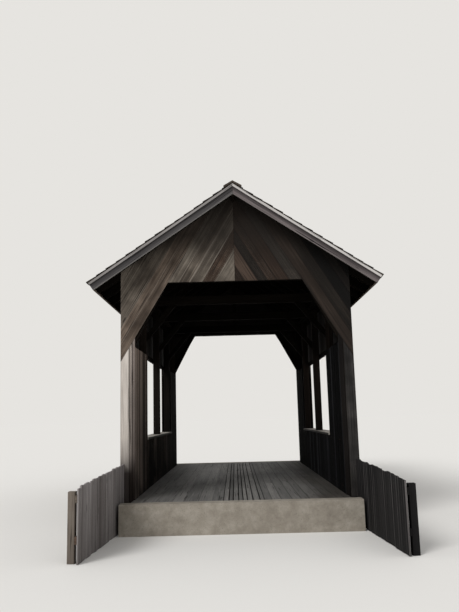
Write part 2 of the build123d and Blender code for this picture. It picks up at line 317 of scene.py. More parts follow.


# Weathered softwood, sawn: the fibres stand up in streaks along the grain, the boards' edges and
# checks stay dark, and sun and rain bleach it in patches, on the portals' left side with painted dappled
# sunlight and shade. Hex stops run from wet dark to bleached.
def sawnWood(name, recipe):
    material, tree, place = newMaterial(name)
    across, along, height = addNode(tree, "SeparateXYZ", (place,)).node.outputs
    draws = {}
    if "turn" in recipe:
        turn = Euler([math.radians(a) for a in recipe["turn"]])
        grain = addNode(tree, "Mapping", {"Vector": place, "Rotation": turn})
        # a broad noise stands in for the boards' own tones
        draws["boardShare"] = addNode(tree, "TexNoise", {"Vector": place, "Scale": 0.4, "Detail": 0.0})
    else:
        # each board draws its tone, its resin and how far the weather bites into its edges
        grain = addNode(tree, "Attribute", output="Vector", attribute_name="grain")
        seed = addNode(tree, "SeparateXYZ", (grain,), 2)
        for key, stretch in (("boardShare", 1.0), ("brownBoards", 3.7), ("paleEdge", 2.9)):
            if key in recipe:
                draw = addNode(tree, "Math", (seed, stretch), operation="MULTIPLY")
                draws[key] = addNode(tree, "TexWhiteNoise", {"W": draw}, noise_dimensions="1D")

    # fibre width in mm, a few times coarser than real so that it shows in the render
    perMetre = 1000 / recipe["fibre"]
    # steps along and across the grain and from board to board, for fibres, figure, splits and knots
    steps = ((wood["fibreStep"], perMetre, 3.7), (wood["figureStep"], perMetre / wood["figureWidth"], 1.9),
             (wood["splitStep"], perMetre / wood["splitWidth"], 5.3), (*wood["knotSteps"], 2.3))
    scaled = [addNode(tree, "VectorMath", (grain, step), operation="MULTIPLY") for step in steps]
    fibre = addNode(tree, "TexNoise", {"Vector": scaled[0], "Scale": 1.0, "Detail": 4.0, "Roughness": 0.62})
    figure = addNode(tree, "TexNoise", {"Vector": scaled[1], "Scale": 1.0, "Detail": 2.0, "Distortion": 0.9})
    patch = addNode(tree, "TexNoise", {"Vector": place, "Scale": recipe["patch"], "Detail": 3.0})
    tone = 0.0
    for value, share in ((fibre, "fibreShare"), (figure, "figureShare"), (patch, "patchShare"),
                         (draws["boardShare"], "boardShare")):
        tone = addNode(tree, "Math", (value, recipe[share], tone), operation="MULTIPLY_ADD")
    colour = addNode(tree, "ValToRGB", {"Fac": tone}, stops=recipe["stops"])

    # marks are all that darkens the wood, and the strongest shows. layers are laid over the colour in turn,
    # each with its share, its hex value and how it mixes.
    layers = []
    # drying checks: thin dark splits that follow the grain
    split = addNode(tree, "TexNoise", {"Vector": scaled[2], "Scale": 1.0, "Detail": 1.0})
    split = addNode(tree, "MapRange", (split, *wood["splitFrom"]))
    # knots about 30 mm across, longer along the grain
    knot = addNode(tree, "TexVoronoi", {"Vector": scaled[3], "Scale": 1.0})
    marks = [split, addNode(tree, "MapRange", (knot, *wood["knotSize"], wood["knotShare"], 0.0))]
    if "brownBoards" in recipe:
        # some boards keep their resin and stay reddish brown
        resin = addNode(tree, "MapRange", (draws["brownBoards"], 1 - recipe["brownBoards"], 1.0))
        layers.append((resin, wood["resin"], "MULTIPLY"))
    if "turn" not in recipe:
        edge = addNode(tree, "Attribute", output="Fac", attribute_name="edge")
        if "trimShadow" in recipe:
            # the upper half carries the painted shadow of the trim and stays dark; only the lower edge is
            # paler, weathered and with painted sunlight
            marks.append(addNode(tree, "MapRange", (edge, *wood["trimShadowReach"], 0.0, recipe["trimShadow"])))
            edge = addNode(tree, "Math", (edge, -1.0), operation="MULTIPLY")
        else:
            edge = addNode(tree, "Math", (edge,), operation="ABSOLUTE")
        edge = addNode(tree, "MapRange", (edge, wood["edgeFrom"], 1.0, 0.0, recipe["edgeDark"]))
        # paler board edges: weathering, and on the copies that carry painted sunlight also painted light
        if "paleEdge" in recipe:
            bite = addNode(tree, "MapRange", (draws["paleEdge"], *wood["bite"]))
            edge = addNode(tree, "Math", (edge, bite), operation="MULTIPLY")
            layers.append((edge, recipe["paleEdge"], "MIX"))
        else:
            marks.append(edge)
    if "washedAndLitPortal" in recipe:
        # about a metre and a half in from the front portal it is paler: driving rain and sun, and painted
        # light from the open end
        wash = addNode(tree, "MapRange", (along, *wood["washReach"]))
        layers.append((wash, recipe["washedAndLitPortal"], "ADD"))
    if "shadedInnerFace" in recipe:
        # the faces that look into the bridge are never rained on, and are darkened almost to black with
        # painted shade
        axis, start = recipe["shadedInnerFace"]
        depth = addNode(tree, "Math", ((across, along)[axis],), operation="ABSOLUTE")
        limits = [start + reach for reach in wood["innerReach"]]
        marks.append(addNode(tree, "MapRange", (depth, *limits, wood["innerShadeShare"], 0.0)))
    # the gable's top under the eaves is darkened with painted shade, and the far end is painted nearly black
    # with shade
    for key, way, share in (("shadeAbove", height, wood["shadeAboveShare"]), ("farShadeFrom", along, wood["farShadeShare"])):
        if key in recipe:
            limits = (recipe[key], recipe[key] + wood["fade"])
            marks.append(addNode(tree, "MapRange", (way, *limits, 0.0, share)))
    if "wallDirtAndShade" in recipe:
        # leaf mould and dust gather along the foot of the walls; there is more on the right, where it is
        # also painted shade
        fromMiddle = addNode(tree, "Math", (across, wood["dirtAndShadeShift"]), operation="ADD")
        fromMiddle = addNode(tree, "Math", (fromMiddle,), operation="ABSOLUTE")
        fromMiddle = addNode(tree, "Math", (patch, wood["dirtPatch"], fromMiddle), operation="MULTIPLY_ADD")
        limits = [jamb + reach for reach in wood["dirtReach"]]
        dirtAndShade = addNode(tree, "MapRange", (fromMiddle, *limits, 0.0, wood["dirtShare"]))
        layers.append((dirtAndShade, recipe["wallDirtAndShade"], "MIX"))
    # damp and splashed dirt near the ground; on the left post and its strips it reaches higher and is
    # painted shade, with a painted shadow edge on the post
    dampAndShade = addNode(tree, "MapRange", (height, wood["splashFoot"], recipe["dampAndShadeTop"], recipe["dampAndShade"], 0.0))
    dark = addNode(tree, "Math", (dampAndShade, patch), operation="MULTIPLY")
    for mark in marks:
        dark = addNode(tree, "Math", (dark, mark), operation="MAXIMUM")
    layers.append((dark, recipe["mark"], "MIX"))
    for share, code, mode in layers:
        colour = addNode(tree, "Mix", {0: share, 6: colour, 7: fromHex(code)}, 2,
                         data_type="RGBA", blend_type=mode)

    relief = addNode(tree, "Math", (fibre, split), operation="SUBTRACT")
    bump = addNode(tree, "Bump", {"Height": relief, "Strength": 0.7, "Distance": recipe["relief"]})
    limits = (recipe["rough"], recipe["rough"] + wood["roughRange"])
    rough = addNode(tree, "MapRange", (fibre, *wood["roughFrom"], *limits))
    shader = addNode(tree, "BsdfPrincipled", {
        "Base Color": colour, "Roughness": rough, "Normal": bump, "IOR": 1.5,
        "Specular IOR Level": recipe["gloss"]})
    addNode(tree, "OutputMaterial", {"Surface": shader})
    return material


# Colour stops, at the usual places unless others are given
def tones(*codes, at=(0.38, 0.55, 0.72, 0.92)):
    return list(zip(at, codes))


# Fibres are in mm, patches per metre, and heights and relief in metres
woodBase = {
    "fibre": 9, "patch": 0.9, "fibreShare": 0.45, "figureShare": 0.3, "patchShare": 0.25, "boardShare": 0.3,
    "edgeDark": 0.75, "dampAndShade": 0.6, "dampAndShadeTop": 1.1, "relief": 0.003, "rough": 0.8, "gloss": 0.15,
    "mark": "#1a1613",
}
dryBase = {**woodBase, "dampAndShade": 0.0}
# timber is nearly black: aged wood with the painted shade of the bridge's interior
timberBase = {**woodBase, "fibre": 12, "edgeDark": 0.0, "gloss": 0.01, "rough": 0.9,
              "stops": tones("#070605", "#0d0b09", "#161310", "#241f1b")}
sidingStops = tones("#2c2622", "#4d443d", "#6b6259", "#8b8279")
cedarStops = tones("#251f1b", "#433c35", "#5f574e", "#7d756b", at=(0.38, 0.6, 0.8, 1.0))

# Rough-sawn pine on the portals' left side, with paler edges: its pale tone and its large pale and dark
# patches are painted sunlight and dappled shade
facingBase = {**woodBase, "shadedInnerFace": (1, portalEnd)}
sunlitGablePine = sawnWood("sunlitFacingPine", {
    **facingBase, "boardShare": 0.16, "patch": 1.9, "patchShare": 0.62, "shadeAbove": road + 4.12,
    "paleEdge": "#a0978c", "edgeDark": 0.6, "brownBoards": 0.35,
    "stops": tones("#221d1a", "#3b352f", "#5a534b", "#8f867b", at=(0.46, 0.63, 0.77, 0.98))})
# The same pine on the shady side, a darker and browner copy with painted shade
shadedBase = {**facingBase, "boardShare": 0.42, "patchShare": 0.35}
shadedPlaces = (0.42, 0.6, 0.78, 0.98)
shadedPine = sawnWood("shadedFacingPine", {
    **shadedBase, "brownBoards": 0.65, "shadeAbove": road + 4.12,
    "stops": tones("#0c0a09", "#1b1815", "#302c28", "#534d47", at=shadedPlaces)})
# Its outer boards under the eaves and the right jamb's inner strip are darker still, with painted shade of
# the overhang and the jamb
eaveShadePine = sawnWood("paintedShadeEavePine", {
    **shadedBase, "brownBoards": 0.8, "mark": "#0f0c0b",
    "stops": tones("#050404", "#0a0908", "#12100e", "#221e1b", at=shadedPlaces)})
# The left post's wide board is the palest, a copy with painted sunlight, darker towards the foot with damp
# and a painted shadow edge; the right one is a grey copy with painted shade
postPines = {
    -1: sawnWood("sunlitPostPine", {
        **woodBase, "dampAndShade": 5.0, "dampAndShadeTop": 1.58, "edgeDark": 0.4, "mark": "#3a3532",
        "stops": tones("#857e79", "#b8b0a8", "#d6cec7", "#e6dfd8", at=(0.38, 0.53, 0.68, 0.9))}),
    1: sawnWood("shadedPostPine", {
        **woodBase, "patch": 2.5, "patchShare": 0.5,
        "stops": tones("#0f0e0d", "#1b1a19", "#2f2d2c", "#55524f", at=shadedPlaces)}),
}
# Narrow strips beside it, browner, and darker towards the foot with painted shade that reaches most of their
# height
stripPine = sawnWood("brownStripPine", {
    **woodBase, "dampAndShade": 2.8, "dampAndShadeTop": 3.4, "boardShare": 0.6, "patchShare": 0.1, "brownBoards": 0.6,
    "edgeDark": 1.0, "mark": "#241e1b",
    "stops": tones("#3d3430", "#7a706a", "#aaa098", "#cbc2bb", at=(0.42, 0.62, 0.84, 1.0))})
# Outer siding, grey-brown, rained on from all sides; its faces towards the inside are darkened with painted
# shade
sidingPine = sawnWood("weatheredSidingPine", {
    **woodBase, "gloss": 0.08, "mark": "#100d0c", "brownBoards": 0.22, "shadedInnerFace": (0, sidingLow.x),
    "stops": sidingStops})
# Inner lining, never washed by rain: dark brown, darkened further with painted shade of the interior; the
# right copy is nearly black with painted shade, and both are painted nearly black towards the far end
liningBase = {**woodBase, "farShadeFrom": 1.7, "gloss": 0.01, "rough": 0.9, "figureShare": 0.2, "edgeDark": 0.9}
liningPines = {
    -1: sawnWood("darkLiningPine", {
        **liningBase, "dampAndShade": 2.2, "dampAndShadeTop": 3.1, "mark": "#0b0a09", "washedAndLitPortal": "#7c7169",
        "boardShare": 0.75, "paleEdge": "#8a7f77", "brownBoards": 0.4,
        "stops": tones("#070606", "#14110f", "#413832", "#7d7067", at=(0.42, 0.72, 0.9, 1.0))}),
    1: sawnWood("shadedLiningPine", {
        **liningBase, "dampAndShade": 0.8, "dampAndShadeTop": 1.9, "mark": "#070707", "boardShare": 0.6,
        "stops": tones("#080808", "#0f0f10", "#1c1c1e", "#39393c", at=(0.42, 0.66, 0.84, 1.0))}),
}
# Sawn frame timber under the roof, dark with age and nearly black with painted shade of the interior
shadedFrameTimber = sawnWood("shadedSawnFrameTimber", timberBase)
# The posts stand in the light of the windows and are a little paler
postTimber = sawnWood("sawnPostTimber", {
    **timberBase, "gloss": 0.04, "stops": tones("#0a0807", "#14110f", "#201b18", "#322b26")})
# Road planks, worn flat and grey by wheels
roadPlank = sawnWood("wornRoadPlank", {
    **dryBase, "fibre": 10, "edgeDark": 0.85, "patch": 0.6, "patchShare": 0.35, "boardShare": 0.2,
    "rough": 0.72, "wallDirtAndShade": "#2b2620", "mark": "#1f1d1b",
    "stops": tones("#3a3938", "#555452", "#6d6b68", "#8b8884")})
# Split shakes: coarse fibres, weathered grey-brown, each of its own tone
splitShake = sawnWood("splitCedarShake", {
    **dryBase, "fibre": 7, "boardShare": 0.36, "relief": 0.006, "stops": cedarStops})
# Underside boards of the roof, dull, and dark with painted shade under the roof
roofShadePine = sawnWood("shadedRoofPine", {
    **dryBase, "gloss": 0.05, "stops": tones("#090706", "#120f0c", "#1d1915", "#2f2923")})
# Barge boards: the upper half carries the painted shadow of their trim, and the lower edge is paler,
# weathered and with painted sunlight; the left copy is darker with painted shade
bargeBase = {**dryBase, "patchShare": 0.4, "trimShadow": 0.9, "edgeDark": 0.95, "mark": "#181617"}
bargePlaces = (0.4, 0.58, 0.75, 0.95)
bargePines = {
    1: sawnWood("sunlitBargePine", {
        **bargeBase, "paleEdge": "#d2cdc7",
        "stops": tones("#2f2b2b", "#453f3f", "#5b5454", "#776f6f", at=bargePlaces)}),
    -1: sawnWood("shadedBargePine", {
        **bargeBase, "paleEdge": "#8e8b88",
        "stops": tones("#232121", "#353333", "#484646", "#625f5f", at=bargePlaces)}),
}
# The trim strip on them is weathered pale, nearly white on the right with painted sunlight; the left copy is
# greyer with painted shade
trimBase = {**dryBase, "edgeDark": 0.2, "boardShare": 0.1}
trimPlaces = (0.4, 0.56, 0.72, 0.92)
trimPines = {
    1: sawnWood("sunlitTrimPine", {
        **trimBase, "stops": tones("#a8a4a1", "#c2bebb", "#d3d0cd", "#dfdcd9", at=trimPlaces)}),
    -1: sawnWood("shadedTrimPine", {
        **trimBase, "stops": tones("#6f6c6a", "#8b8785", "#a09c9a", "#b6b2b0", at=trimPlaces)}),
}
# Wing walls: thin pickets with pale edges; the left copy is lighter with painted sunlight, the right copy
# nearly black with painted shade
wingPines = {
    -1: sawnWood("sunlitWingPine", {
        **woodBase, "dampAndShade": 0.7, "mark": "#2d2b28", "paleEdge": "#b5afad", "edgeDark": 0.6,
        "stops": tones("#443f3e", "#67615f", "#868180", "#a9a4a3")}),
    1: sawnWood("shadedWingPine", {
        **woodBase, "dampAndShade": 0.9, "mark": "#0e0d0d", "paleEdge": "#6e6a69", "edgeDark": 0.9,
        "stops": tones("#090909", "#111011", "#1b1a1a", "#2e2c2d")}),
}


# Cast concrete: grey blotches of 200 mm, air holes, and sand grain a little coarser than real to show
def castConcrete():
    material, tree, place = newMaterial("castConcrete")
    blotch = addNode(tree, "TexNoise", {"Vector": place, "Scale": 5.0, "Detail": 8.0, "Roughness": 0.7})
    sand = addNode(tree, "TexNoise", {"Vector": place, "Scale": 180.0, "Detail": 2.0})  # grains of 5 mm
    hole = addNode(tree, "TexVoronoi", {"Vector": place, "Scale": 38.0})  # one in every 26 mm
    hole = addNode(tree, "MapRange", (hole, 0.08, 0.16, 1.0, 0.0))
    tone = addNode(tree, "Math", (sand, 0.25, blotch), operation="MULTIPLY_ADD")
    colour = addNode(tree, "ValToRGB", {"Fac": tone},
                     stops=tones("#776f65", "#8b8479", "#a39c91", at=(0.35, 0.6, 0.85)))
    colour = addNode(tree, "Mix", {0: hole, 6: colour, 7: fromHex("#4f4a43")}, 2, data_type="RGBA")
    relief = addNode(tree, "Math", (sand, hole), operation="SUBTRACT")
    bump = addNode(tree, "Bump", {"Height": relief, "Strength": 0.6, "Distance": 0.003})
    shader = addNode(tree, "BsdfPrincipled", {
        "Base Color": colour, "Normal": bump, "Roughness": 0.9, "IOR": 1.5, "Specular IOR Level": 0.3})
    addNode(tree, "OutputMaterial", {"Surface": shader})
    return material


# Wrought iron nails, rusted to dull brown blotches of 17 mm
def rustedIron():
    material, tree, place = newMaterial("rustedIron")
    rust = addNode(tree, "TexNoise", {"Vector": place, "Scale": 60.0, "Detail": 3.0})
    colour = addNode(tree, "ValToRGB", {"Fac": rust}, stops=tones("#1f1815", "#4b3022", at=(0.35, 0.7)))
    shader = addNode(tree, "BsdfPrincipled", {"Base Color": colour, "Roughness": 0.7, "Metallic": 0.6})
    addNode(tree, "OutputMaterial", {"Surface": shader})
    return material


concrete = castConcrete()
iron = rustedIron()
print("materials made")

# Nails sit in pairs across every board, at each row
nail = {"radius": 0.006, "height": 0.003, "sunk": 0.001, "topShare": 0.6, "inset": 0.035, "jitter": 0.006,
        "endGap": 0.03, "underPlate": 0.13, "overRoad": 0.12}
nails = newPile()


def driveNail(face, u, v, height, rng):
    middle = Vector([place + rng.uniform(-1, 1) * nail["jitter"] for place in (u, v)])
    turns = [math.pi * i / 3 for i in range(6)]
    spokes = [Vector((math.cos(turn), math.sin(turn))) * nail["radius"] for turn in turns]
    rim = [onFace(face, middle + spoke, height - nail["sunk"]) for spoke in spokes]
    top = [onFace(face, middle + spoke * nail["topShare"], height + nail["height"]) for spoke in spokes]
    if isMirrored(face):
        rim, top = rim[::-1], top[::-1]
    addFace(nails, top, [(0, 0, 0)] * 6, [0.0] * 6)
    for i in range(6):
        j = (i + 1) % 6
        addFace(nails, [rim[i], rim[j], top[j], top[i]], [(0, 0, 0)] * 4, [0.0] * 4)


def nailRows(face, laid, rows, height, rng):
    for near, far in laid:
        for row in rows:
            driveNail(face, near + nail["inset"], row, height, rng)
            driveNail(face, far - nail["inset"], row, height, rng)


# Boarding of the side walls, siding outside and lining inside
siding = {"width": 0.19, "spread": 0.3, "gap": 0.001, "thickness": 0.025, "proud": 0.004,
          "raggedFoot": 0.02, "raggedHead": 0.004}
lining = {**siding, "width": 0.16, "spread": 0.35, "gap": 0.002, "raggedFoot": 0.003, "raggedHead": 0.01}
headerRaggedFoot = 0.01


# One skin of boards with its window left open. Only the outer one has boards over the window.
def boardSkin(side, innerX, outer, foot, head, recipe, seed):
    rng = random.Random(seed)
    pile = newPile()
    x = side * (innerX if outer else innerX + recipe["thickness"])
    face = makeFace((x, 0, 0), (0, 1, 0), (0, 0, 1), (side if outer else -side, 0, 0))
    nailing = []
    for left, right in ((-portalEnd, -windowEdge), (windowEdge, portalEnd)):
        nailing.append((layBoards(pile, face, left, right, foot, head, recipe, rng), foot, head))
    state = rng.getstate()
    plain = {**recipe, "raggedHead": 0.0}
    laid = layBoards(pile, face, -windowEdge, windowEdge, foot, parapet, plain, rng)
    nailing.append((laid, foot, parapet))
    if outer:
        rng.setstate(state)
        plain = {**recipe, "raggedFoot": headerRaggedFoot}
        laid = layBoards(pile, face, -windowEdge, windowEdge, headerLow.z, head, plain, rng)
        nailing.append((laid, headerLow.z, head))
    return pile, face, nailing


# Rows of nails go into the sills, girts and plates behind the boards
girtRows = sorted({round((low.z + high.z) / 2, 3) for low, high in solidBoxes("girts_right")})
sillRow = sum(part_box("wall_sills")[i].z for i in (0, 1)) / 2
plateRow = sum(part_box("top_plates")[i].z for i in (0, 1)) / 2 - nail["underPlate"]
for side, sideName in sides:
    rng = random.Random(500 + side)
    skins = (
        (True, sidingLow, sidingHigh, siding, 11, (sillRow, *girtRows, plateRow), sidingPine,
         (f"siding_{sideName}", f"siding_over_windows_{sideName}")),
        (False, liningLow, liningHigh, lining, 31, (road + nail["overRoad"], *girtRows), liningPines[side],
         (f"lining_{sideName}",)),
    )
    for outer, low, high, recipe, seed, allRows, pine, nodes in skins:
        pile, face, nailing = boardSkin(side, low.x, outer, low.z, high.z, recipe, seed + side)
        settle(pile, f"{'siding' if outer else 'lining'}Boards_{sideName}", pine, "wall_boards", *nodes)
        for laid, foot, head in nailing:
            rows = [z for z in allRows if foot + nail["endGap"] < z < head - nail["endGap"]]
            nailRows(face, laid, rows, recipe["thickness"] - recipe["proud"], rng)
print("side walls boarded")

# Portals: upright boards on the posts, slanting boards over the haunches
portal = {
    "haunchFoot": 2.83, "head": 3.83, "haunchRun": 0.602, "boardWidth": 0.19, "spread": 0.22, "gap": 0.001,
    "thickness": 0.025, "proud": 0.005, "ease": 0.004, "ragged": 0.004, "pitch": 34.3, "roofJoint": 0.022,
    "postBoards": {1: (0.08, 0.18), -1: (0.055, 0.055, 0.15)}, "stripUnder": 0.1, "stripGap": 0.008,
    "litBoards": 0.3, "haunchJoint": 0.003, "skirtJoint": 0.003, "skirtDrop": 0.002, "longest": 4,
}
slope = math.radians(portal["pitch"])
sinS, cosS, tanS = math.sin(slope), math.cos(slope), math.tan(slope)
haunchFoot = Vector((jamb, road + portal["haunchFoot"]))
haunchHead = Vector((jamb - portal["haunchRun"], road + portal["head"]))
haunchWay = (haunchHead - haunchFoot).normalized()
haunchOut = Vector((haunchWay.y, -haunchWay.x))


# Flips a point list to the other side of the centre line and keeps it anticlockwise.
def mirrored(outline, side):
    return outline if side > 0 else [Vector((-p.x, p.y)) for p in reversed(outline)]


def gableBoards(face, side, rng):
    pile, eaves = newPile(), newPile()
    roofLine = Vector((gableHigh.x, gableHigh.z - (gableHigh.x - portal["roofJoint"]) * tanS))
    outer = haunchOut.dot(roofLine - haunchHead)
    inner = haunchOut.dot(Vector((0, haunchHead.y)) - haunchHead)
    strips = [0.0]
    for width in cutWidths(outer, portal["boardWidth"], portal["spread"], rng):
        strips.append(strips[-1] + width)
    for width in cutWidths(-inner, portal["boardWidth"], portal["spread"], rng):
        strips.insert(0, strips[0] - width)
    for near, far in zip(strips, strips[1:]):
        start = haunchHead + haunchOut * (near + portal["gap"] / 2)
        across = haunchOut * (far - near - portal["gap"])
        reach = haunchWay * portal["longest"]
        outline = [start - reach, start - reach + across, start + reach + across, start + reach]
        outline = clip(outline, (portal["gap"] / 2, 0), (1, 0))
        outline = clip(outline, (gableHigh.x, 0), (-1, 0))
        outline = clip(outline, roofLine, (-sinS, -cosS))
        if near < 0:
            outline = clip(outline, (0, haunchHead.y - rng.uniform(0, portal["ragged"])), (0, 1))
        # on the right, boards beyond litBoards go under the eaves and take the copy with painted shade
        addBoard(eaves if side > 0 and near > portal["litBoards"] else pile, face, mirrored(outline, side),
                 portal["thickness"] - rng.uniform(0, portal["proud"]), (haunchWay.x * side, haunchWay.y),
                 newSeed(rng), portal["ease"])
    return pile, eaves


def postBoards(pile, strips, face, side, rng):
    place = jamb
    for width in portal["postBoards"][side]:
        narrow = width < portal["stripUnder"]
        gap = portal["stripGap" if narrow else "gap"]
        outline = rectangle(place, place + width - gap, planksHigh.z, road + portal["head"])
        outline = clip(outline, haunchFoot - haunchOut * portal["haunchJoint"], -haunchOut)
        addBoard(strips if narrow else pile, face, mirrored(outline, side),
                 portal["thickness"] - rng.uniform(0, portal["proud"]), (0, 1), newSeed(rng))
        place += width
    # the outermost board goes on down beside the floor
    skirt = rectangle(planksHigh.x + portal["skirtJoint"], facingHigh.x - portal["gap"] / 2,
                      facingLow.z, planksHigh.z - portal["skirtDrop"])
    addBoard(pile, face, mirrored(skirt, side), portal["thickness"], (0, 1), newSeed(rng))


for side, sideName in sides:
    # the right side takes the copies with painted shade, the left side the lighter ones with painted
    # sunlight
    gablePine, narrowPine = (shadedPine, eaveShadePine) if side > 0 else (sunlitGablePine, stripPine)
    uprights, strips = newPile(), newPile()
    for end, endName in ends:
        rng = random.Random(100 + side * 7 + end * 3)
        face = makeFace((0, end * portalEnd, 0), (1, 0, 0), (0, 0, 1), (0, end, 0))
        pile, eaves = gableBoards(face, side, rng)
        settle(pile, f"gableBoards_{endName}_{sideName}", gablePine, "wall_boards",
               f"gable_facing_{endName}_{sideName}")
        if side > 0:
            settle(eaves, f"eaveBoards_{endName}_right", eaveShadePine, "wall_boards")
        postBoards(uprights, strips, face, side, rng)
    nodes = ["post_facings"] if side > 0 else []
    settle(uprights, f"postBoards_{sideName}", postPines[side], "wall_boards", *nodes)
    settle(strips, f"postStrips_{sideName}", narrowPine, "wall_boards")
print("portals boarded")

# Floor: narrow boards with open joints in the middle, wide ones packed with dust where the wheels run.
# Each zone has its right edge, board width, joint, and how open the joint looks under the dust.
decking = {
    "zones": ((-0.3, 0.21, 0.002, 0.88), (0.4, 0.088, 0.014, 1.0), (2.0, 0.15, 0.003, 0.94)), "spread": 0.3,
    "nailPitch": 0.62, "nailStart": 0.12, "proud": 0.003, "ease": 0.006, "packedEase": 0.003,
    "buttReach": 2.4, "buttGap": 0.003, "crossCuts": (0.24, 0.1, 0.008), "crossEase": 0.004,
}


def runningBoards():
    rng = random.Random(7)
    pile = newPile()
    face = makeFace((0, 0, roadLow.z), (1, 0, 0), (0, 1, 0), (0, 0, 1))
    thickness = roadHigh.z - roadLow.z
    rowCount = int(2 * roadHigh.y / decking["nailPitch"])
    rows = [roadLow.y + decking["nailStart"] + i * decking["nailPitch"] for i in range(rowCount)]
    boards = []
    place = roadLow.x
    for limit, width, gap, opened in decking["zones"]:
        stop = min(limit, roadHigh.x)
        boards.extend((w, gap, opened) for w in cutWidths(stop - place, width, decking["spread"], rng))
        place = stop
    place = roadLow.x
    for width, gap, opened in boards:
        near, far = place + gap / 2, place + width - gap / 2
        butt = rng.uniform(-decking["buttReach"], decking["buttReach"])
        nailRows(face, [(near, far)], rows, thickness - decking["proud"], rng)
        ease = decking["ease" if opened == 1.0 else "packedEase"]
        cut = decking["buttGap"]
        for start, stop in ((roadLow.y, butt - cut), (butt + cut, roadHigh.y)):
            first = len(pile["edge"])
            addBoard(pile, face, rectangle(near, far, start, stop),
                     thickness - rng.uniform(0, decking["proud"]), (0, 1), newSeed(rng), ease)
            pile["edge"][first:] = [e * opened for e in pile["edge"][first:]]
        place += width
    return pile


def crossPlanks():
    rng = random.Random(8)
    pile = newPile()
    face = makeFace((0, 0, planksLow.z), (1, 0, 0), (0, 1, 0), (0, 0, 1))
    for near, far in boardEdges(planksLow.y, planksHigh.y, *decking["crossCuts"], rng):
        addBoard(pile, face, rectangle(planksLow.x, planksHigh.x, near, far), planksHigh.z - planksLow.z,
                 (1, 0), newSeed(rng), decking["crossEase"])
    return pile


settle(runningBoards(), "runningPlanks", roadPlank, "road_boards", "running_boards")
settle(crossPlanks(), "crossPlanks", shadedFrameTimber, "road_boards", "deck_planks")
print("floor laid")

# Straight frame members, one sawn beam for each solid
for node in ("stringers", "wall_sills", "posts_left", "posts_right", "top_plates", "girts_left",
             "girts_right", "tie_beams", "head_beams", "king_posts", "ridge_board"):
    pile = newPile()
    rng = random.Random(node)
    for low, high in solidBoxes(node):
        beamFromBox(pile, low, high, newSeed(rng))
    settle(pile, f"sawn_{node}", postTimber if "posts_" in node else shadedFrameTimber, "frame_timber", node)
print("frame members sawn")

# Roof boards and shakes
roof = {
    "boardCuts": (0.17, 0.2, 0.001), "boardThickness": 0.02, "boardEase": 0.002, "courses": 15, "lap": 1.6,
    "shakeCuts": (0.15, 0.45, 0.005), "butt": 0.03, "buttSpread": 0.007, "head": 0.006, "apexGap": 0.02,
    "ragged": 0.014, "sideGrain": 0.03,
}
apex = deckHigh.z - roof["boardThickness"] / cosS
eaveDistance = (shakeHigh.x - (roof["boardThickness"] + roof["butt"]) * sinS) / cosS
exposure = eaveDistance / roof["courses"]


def roofFace(side):
    return makeFace((0, 0, apex), (0, 1, 0), (side * cosS, 0, -sinS), (side * sinS, 0, cosS))


# The roof boards show from below, so their faces look down
def roofBoards(side):
    rng = random.Random(50 + side)
    pile = newPile()
    face = roofFace(side)
    face["n"] = -face["n"]
    face["origin"] = face["origin"] - face["n"] * roof["boardThickness"]
    length = (deckHigh.x - roof["boardThickness"] * sinS) / cosS
    for near, far in boardEdges(0.0, length, *roof["boardCuts"], rng):
        addBoard(pile, face, rectangle(deckLow.y, deckHigh.y, near, far), roof["boardThickness"], (1, 0),
                 newSeed(rng), roof["boardEase"])
    return pile


# A shake's corners are numbered by sums of 4 for its upper end, 2 for its right and 1 for its top. A face
# has its corners, the numbers that its grain runs along and across, and 1 if its edges are weathered.
shakeFaces = (((1, 3, 7, 5), 4, 2, 1), ((0, 2, 3, 1), 1, 2, 1), ((0, 1, 5, 4), 4, 1, 1),
              ((2, 6, 7, 3), 4, 1, 1), ((0, 4, 6, 2), 4, 2, 0))


# One split shake as a wedge, thick at its butt, lying on the course below.
def addShake(pile, face, left, right, butt, top, base, thick, thin, seed):
    corners = []
    for place, covers in ((butt, thick), (top, thin)):
        for y, cover in zip((left, right), covers):
            corners.extend(onFace(face, Vector((y, place)), height) for height in (base, cover))
    size = {4: butt - top, 2: right - left, 1: roof["sideGrain"]}
    for order, along, across, edged in shakeFaces:
        if not isMirrored(face):
            order = order[::-1]
        grain = [(size[along] * bool(i & along), size[across] * bool(i & across), seed) for i in order]
        addFace(pile, [corners[i] for i in order], grain, [edged if i & 2 else -edged for i in order])


def shakeCourses(side):
    rng = random.Random(70 + side)
    pile = newPile()
    face = roofFace(side)
    base = roof["boardThickness"]
    for course in range(roof["courses"]):
        butt = eaveDistance - course * exposure
        top = max(roof["apexGap"], butt - exposure * roof["lap"])
        for near, far in boardEdges(shakeLow.y, shakeHigh.y, *roof["shakeCuts"], rng):
            drop = rng.uniform(0, roof["ragged"])
            thick = [base + roof["butt"] - rng.uniform(0, roof["buttSpread"]) for _ in range(2)]
            thin = [base + roof["head"]] * 2
            addShake(pile, face, near, far, butt - drop, top, base, thick, thin, newSeed(rng))
    return pile


for side, sideName in sides:
    settle(roofBoards(side), f"roofBoards_{sideName}", roofShadePine, "roof_boards", f"roof_deck_{sideName}")
    settle(shakeCourses(side), f"shakeCourses_{sideName}", splitShake, "shakes", f"shakes_{sideName}")

